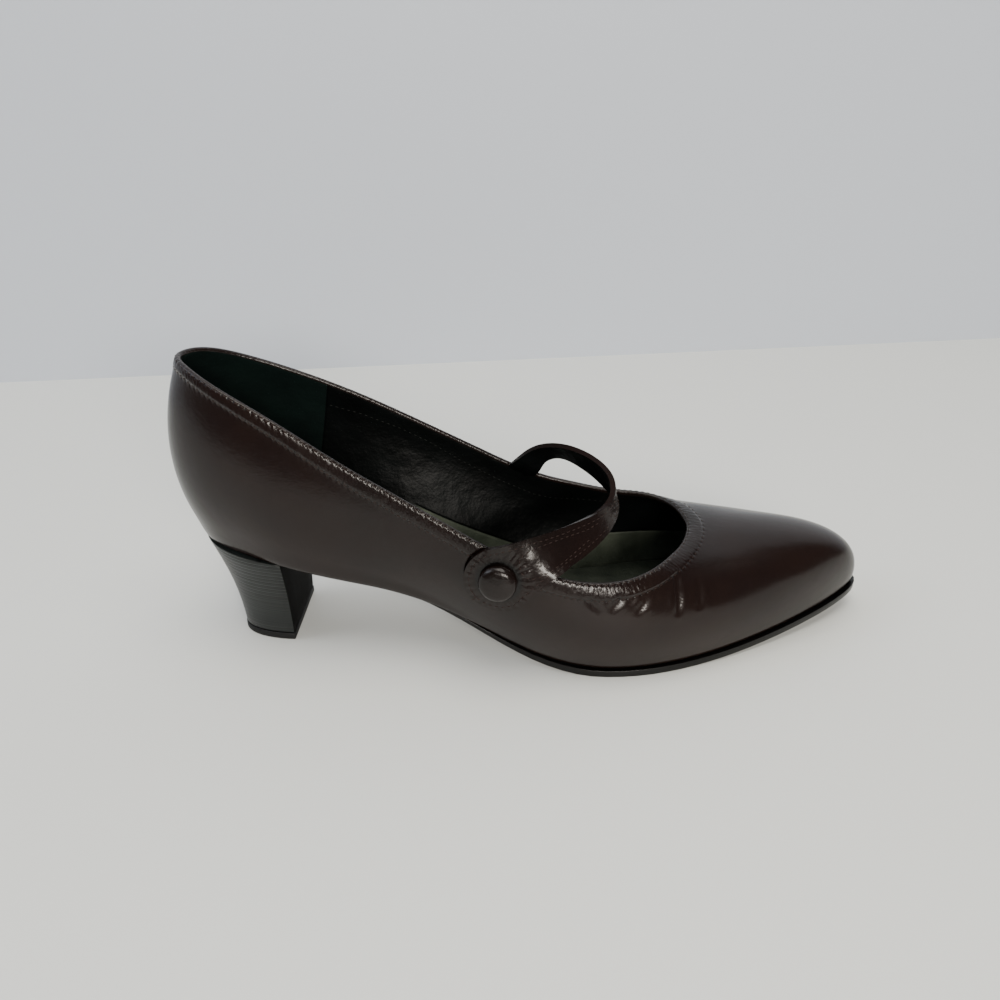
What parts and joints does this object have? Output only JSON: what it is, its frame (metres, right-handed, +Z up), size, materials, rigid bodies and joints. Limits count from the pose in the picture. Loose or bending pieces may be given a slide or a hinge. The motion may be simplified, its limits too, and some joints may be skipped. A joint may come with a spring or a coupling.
{
  "type": "mary jane shoe",
  "caption": "Right-foot leather mary jane pump with a hollow upper, turned collar band, thin outsole, block heel and an instep strap with a covered button.",
  "frame": {"origin": "centre of the bounding box in plan, on the floor under the heel and the ball", "axes": "+X towards the toe, +Y towards the big-toe side, +Z up"},
  "size_m": [0.2636, 0.086, 0.1106],
  "materials": {
    "leather": "dark brown smooth finished leather, satin gloss with fine grain",
    "button_leather": "the same brown leather stretched over the button",
    "lining": "black lining leather, matt",
    "sock": "grey-green sock leather, matt and slightly worn",
    "thread": "brown sewing thread",
    "sole": "black unit outsole with a polished edge",
    "heel_stack": "black moulded block heel with fine stacked lines",
    "top_piece": "black wearing rubber, matt"
  },
  "bodies": {
    "root": {"upper": "leather", "outsole": "sole", "insole": "sock", "heel": "heel_stack", "top_piece": "top_piece", "strap": "leather", "button": "button_leather"}
  },
  "joints": []
}
